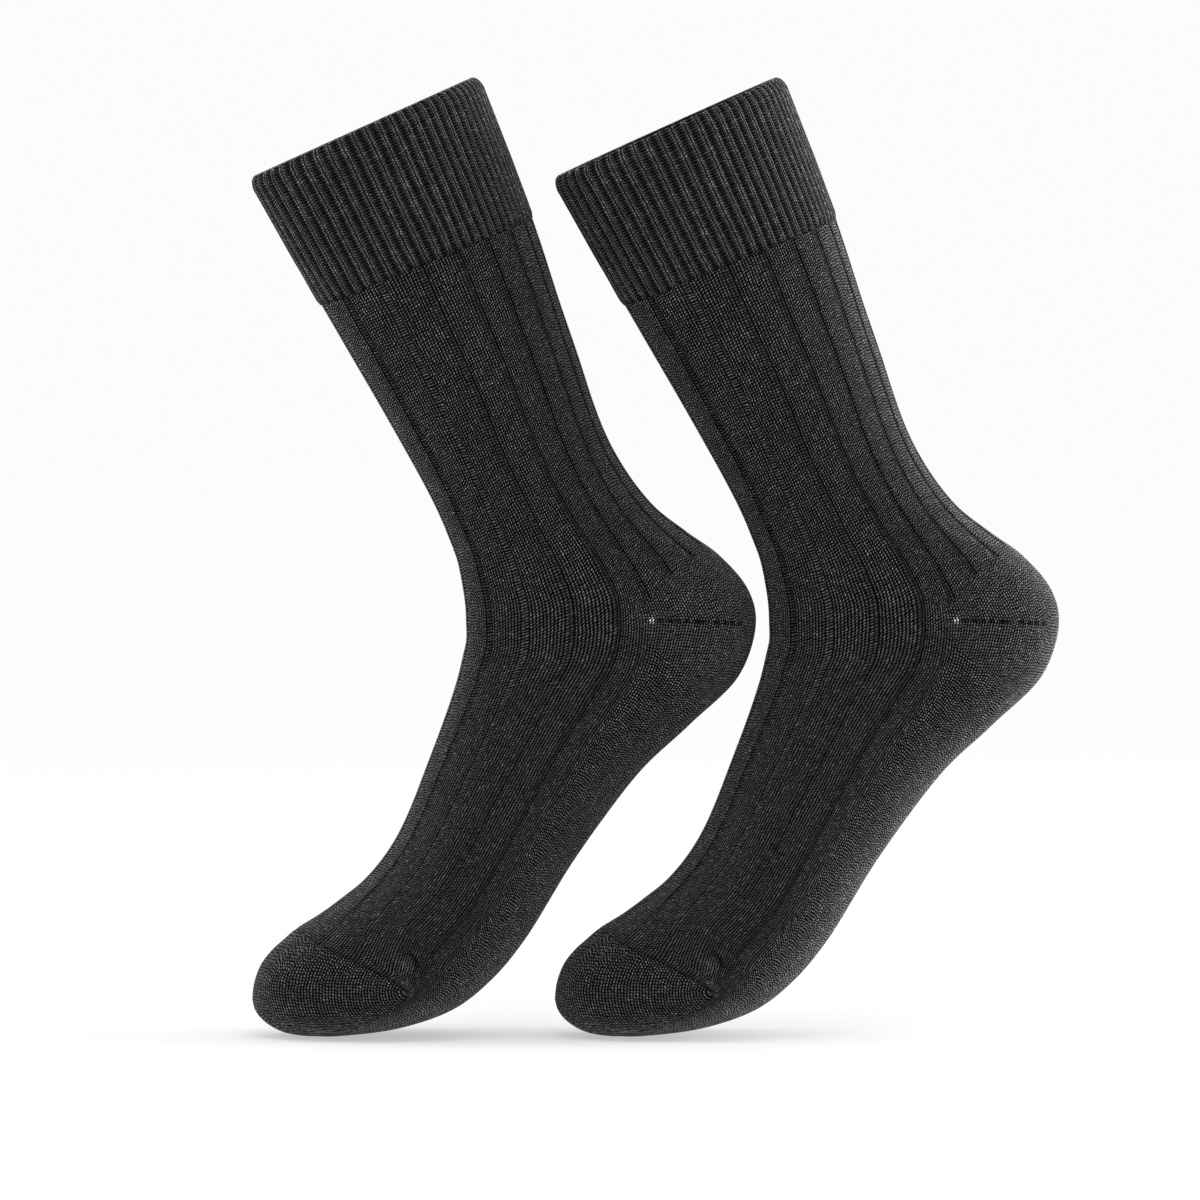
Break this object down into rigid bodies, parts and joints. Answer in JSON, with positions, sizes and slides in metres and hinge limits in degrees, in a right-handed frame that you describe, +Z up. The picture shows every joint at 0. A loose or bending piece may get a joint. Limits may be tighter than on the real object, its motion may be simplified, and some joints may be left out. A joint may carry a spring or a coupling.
{
  "type": "pair of socks",
  "caption": "Pair of dark grey ribbed crew socks, filled out on tiptoe with no wearer, hollow and open at the cuffs.",
  "frame": {"origin": "midway between the centres of the two leg openings, where the wearer's legs hold the pair up", "axes": "+Z up, +X from the shin side to the calf side with the toes towards -X, +Y across the socks; the socks stand one behind the other along X"},
  "size_m": [0.3225, 0.0942, 0.3835],
  "materials": {
    "cuff_rib_knit": "narrow rib of one knit and two purl wales in charcoal melange cotton, double layer",
    "ribbed_knit": "wide flat rib knit in charcoal melange cotton with sunk purl grooves",
    "plain_knit": "plain knit in charcoal melange cotton, fine soft fuzz"
  },
  "bodies": {
    "root": {"front_sock_cuff": "cuff_rib_knit", "front_sock_leg": "ribbed_knit", "front_sock_heel": "plain_knit", "front_sock_foot": "ribbed_knit", "front_sock_toe": "plain_knit", "rear_sock_cuff": "cuff_rib_knit", "rear_sock_leg": "ribbed_knit", "rear_sock_heel": "plain_knit", "rear_sock_foot": "ribbed_knit", "rear_sock_toe": "plain_knit"}
  },
  "joints": []
}
